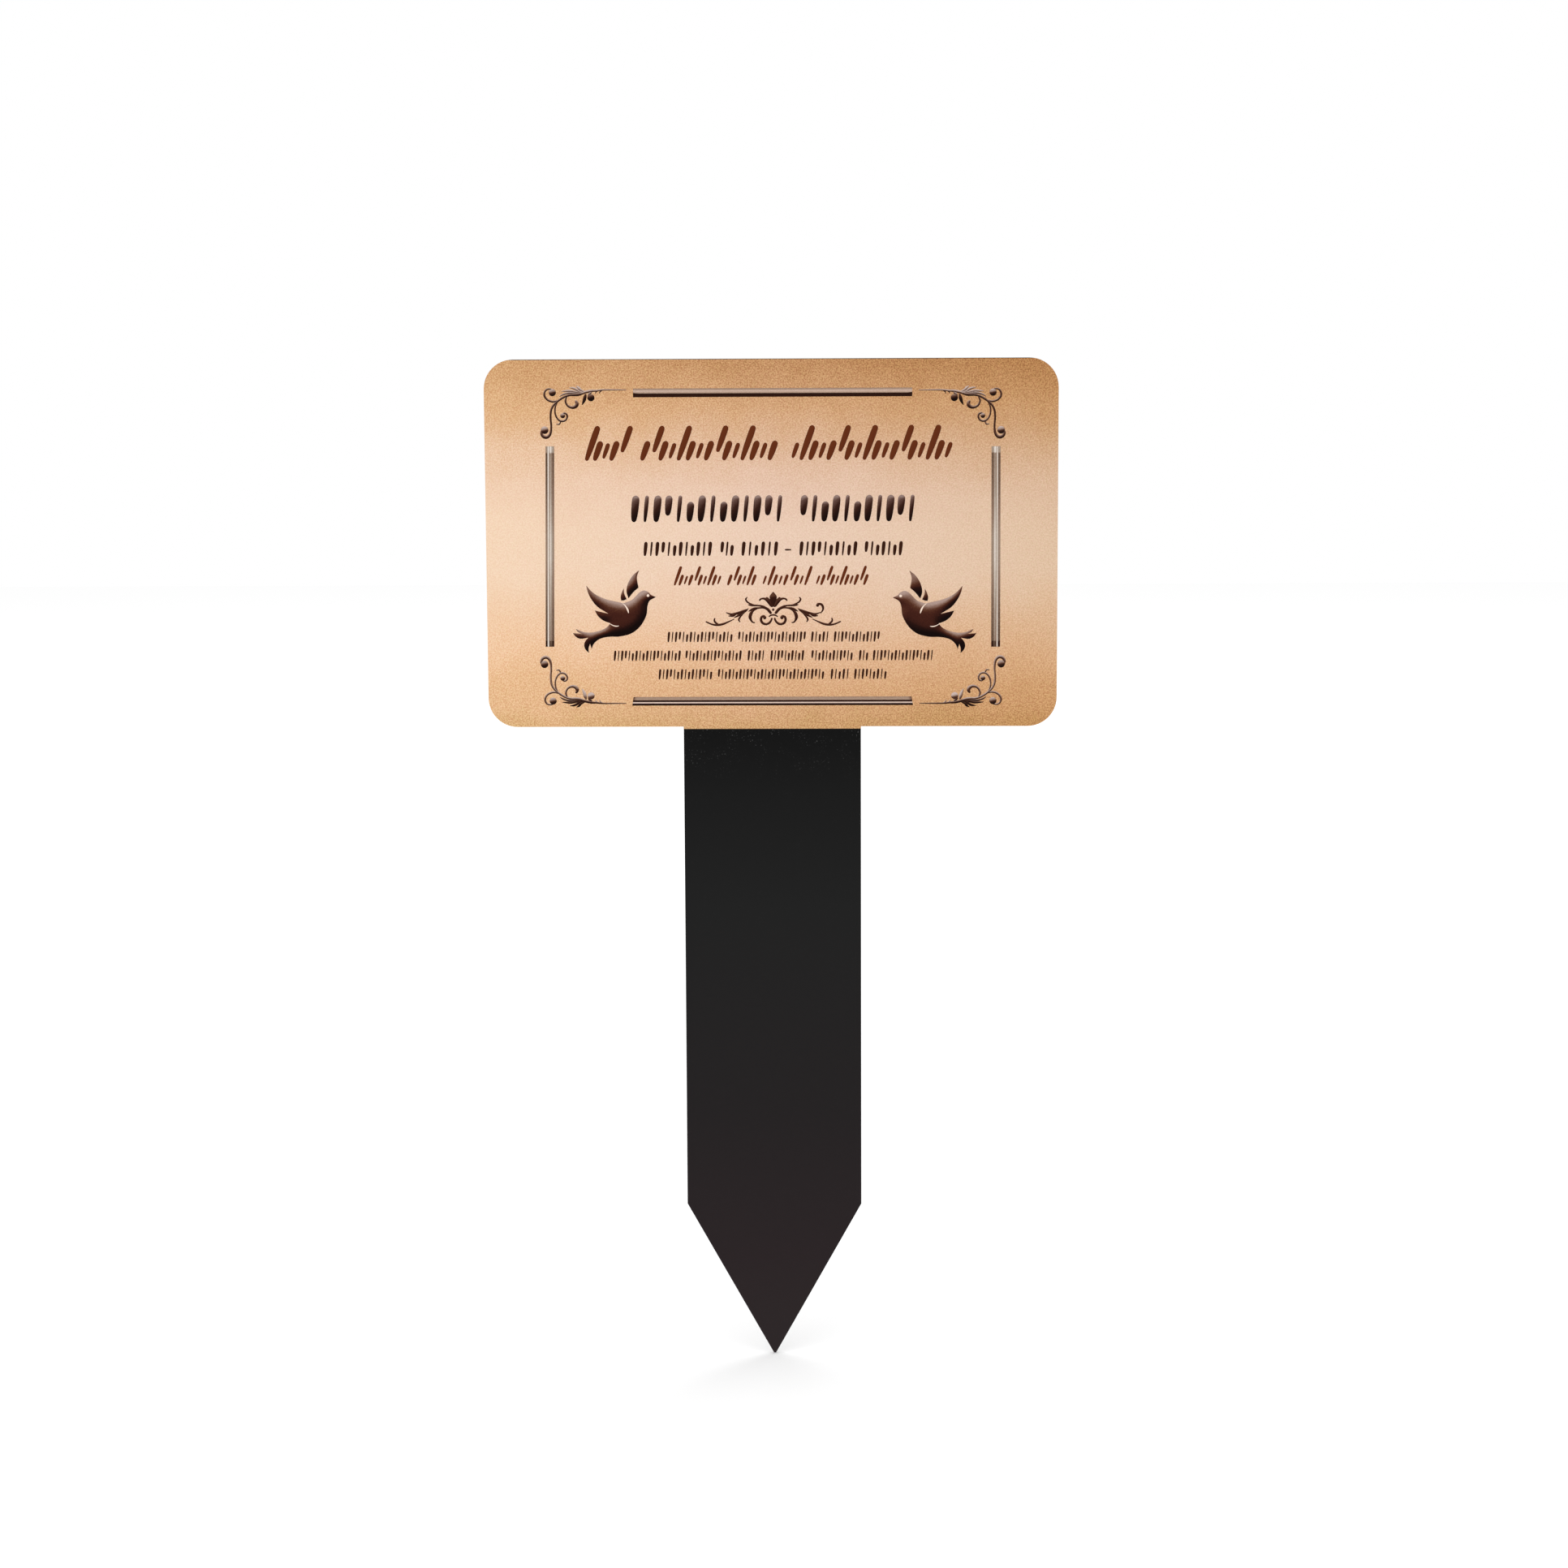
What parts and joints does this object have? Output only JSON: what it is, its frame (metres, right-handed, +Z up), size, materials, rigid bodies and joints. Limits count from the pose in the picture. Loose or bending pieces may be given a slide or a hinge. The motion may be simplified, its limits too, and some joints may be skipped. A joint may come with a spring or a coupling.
{
  "type": "memorial stake plaque",
  "caption": "Flat metal garden plaque: a rounded rectangular head with a printed front on a wide pointed stake cut from the same sheet.",
  "frame": {"origin": "on the stake's centre line, in the middle of the sheet's thickness, at the line where the ground closes round the stake", "axes": "+Z up along the stake to the head, +Y out of the plain back, so the printed face looks towards -Y, +X to the reader's right"},
  "size_m": [0.155, 0.0016, 0.276],
  "materials": {
    "black_powder_coat": "satin black powder coat with a fine sparkle",
    "bronze_print": "satin bronze-gold print with a fine grain",
    "brown_ink": "dark brown printed ink"
  },
  "bodies": {
    "root": {"stake_plaque_sheet": "black_powder_coat"}
  },
  "joints": []
}
